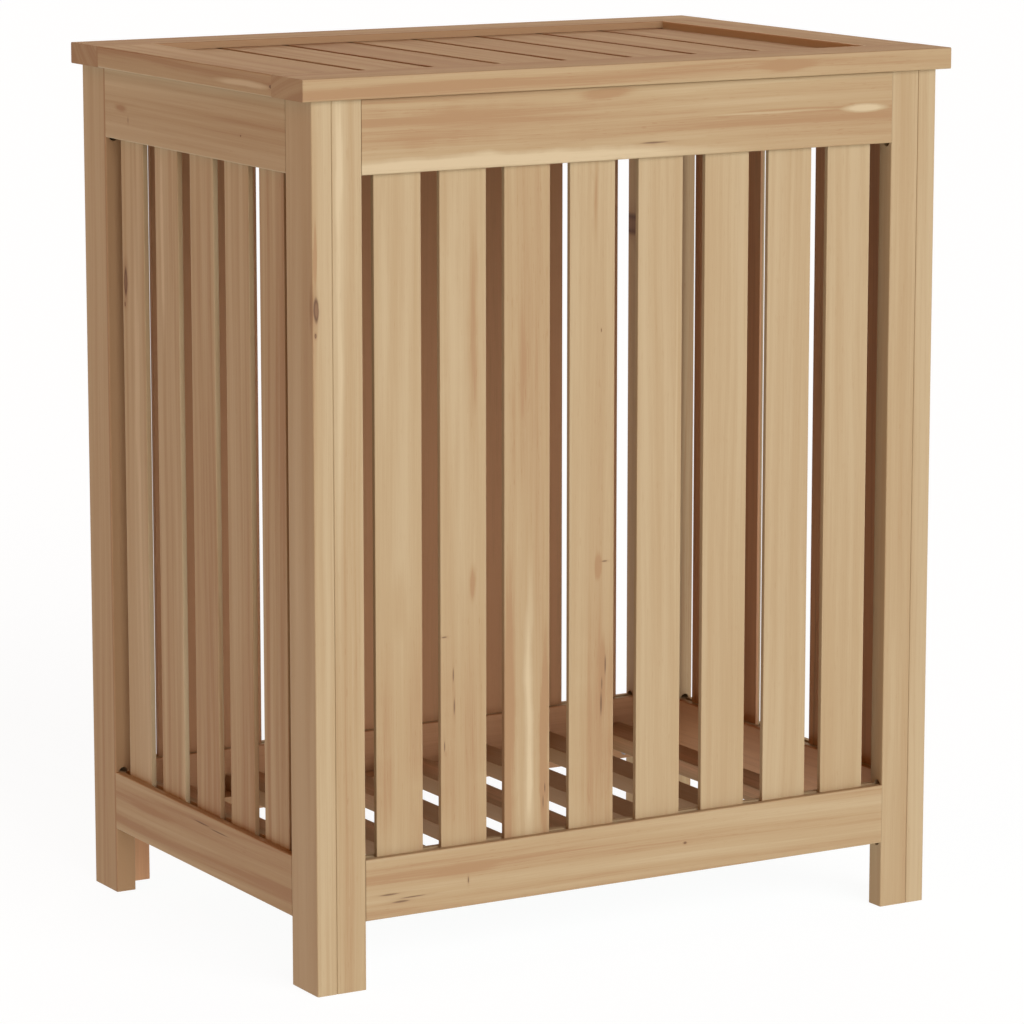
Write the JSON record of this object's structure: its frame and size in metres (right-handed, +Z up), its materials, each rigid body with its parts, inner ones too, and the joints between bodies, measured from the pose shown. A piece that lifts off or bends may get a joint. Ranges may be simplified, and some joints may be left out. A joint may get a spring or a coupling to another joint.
{
  "type": "laundry hamper with lid",
  "caption": "Upright slatted wooden laundry hamper: L-shaped corner posts, railed slatted walls, batten floor and a framed slatted lid hinged at the back.",
  "frame": {"origin": "on the floor, under the middle of the whole hamper's footprint, hinge knuckles included", "axes": "+X from the left wall to the right wall, +Y from the front to the hinged back, +Z up"},
  "size_m": [0.518, 0.3646, 0.6233],
  "materials": {
    "post_wood": "light oiled teak-like boards, fine straight grain",
    "rail_wood": "light oiled teak-like boards, fine straight grain",
    "slat_wood": "light oiled teak-like slats, fine straight grain",
    "floor_wood": "sanded teak-like battens",
    "lid_frame_wood": "light oiled teak-like boards, fine straight grain",
    "lid_slat_wood": "light oiled teak-like slats, fine straight grain",
    "dowel_beech": "plain turned dowel",
    "hinge_brass": "brushed brass plate",
    "screw_steel": "zinc-plated steel"
  },
  "bodies": {
    "body": {"floor_battens": "floor_wood", "floor_ledger_back": "floor_wood", "floor_ledger_front": "floor_wood", "hinge_left_pin": "hinge_brass", "hinge_left_rail_leaf": "hinge_brass", "hinge_rail_screws": "screw_steel", "hinge_right_pin": "hinge_brass", "hinge_right_rail_leaf": "hinge_brass", "ledger_screws": "screw_steel", "post_dowels": "dowel_beech", "post_face_board_back_left": "post_wood", "post_face_board_back_right": "post_wood", "post_face_board_front_left": "post_wood", "post_face_board_front_right": "post_wood", "post_side_board_back_left": "post_wood", "post_side_board_back_right": "post_wood", "post_side_board_front_left": "post_wood", "post_side_board_front_right": "post_wood", "rail_bottom_back": "rail_wood", "rail_bottom_front": "rail_wood", "rail_bottom_left": "rail_wood", "rail_bottom_right": "rail_wood", "rail_top_back": "rail_wood", "rail_top_front": "rail_wood", "rail_top_left": "rail_wood", "rail_top_right": "rail_wood", "slat_back_1": "slat_wood", "slat_back_2": "slat_wood", "slat_back_3": "slat_wood", "slat_back_4": "slat_wood", "slat_back_5": "slat_wood", "slat_back_6": "slat_wood", "slat_back_7": "slat_wood", "slat_back_8": "slat_wood", "slat_front_1": "slat_wood", "slat_front_2": "slat_wood", "slat_front_3": "slat_wood", "slat_front_4": "slat_wood", "slat_front_5": "slat_wood", "slat_front_6": "slat_wood", "slat_front_7": "slat_wood", "slat_front_8": "slat_wood", "slat_left_1": "slat_wood", "slat_left_2": "slat_wood", "slat_left_3": "slat_wood", "slat_left_4": "slat_wood", "slat_left_5": "slat_wood", "slat_right_1": "slat_wood", "slat_right_2": "slat_wood", "slat_right_3": "slat_wood", "slat_right_4": "slat_wood", "slat_right_5": "slat_wood"},
    "lid": {"hinge_left_lid_leaf": "hinge_brass", "hinge_lid_screws": "screw_steel", "hinge_right_lid_leaf": "hinge_brass", "lid_frame_back": "lid_frame_wood", "lid_frame_front": "lid_frame_wood", "lid_frame_left": "lid_frame_wood", "lid_frame_right": "lid_frame_wood", "lid_slats": "lid_slat_wood"}
  },
  "joints": [
    {"name": "lid_hinge", "type": "hinge", "parent": "body", "child": "lid", "pos_m": [0, 0.1798, 0.60815], "axis": [-1, 0, 0], "range_deg": [0, 180]}
  ]
}
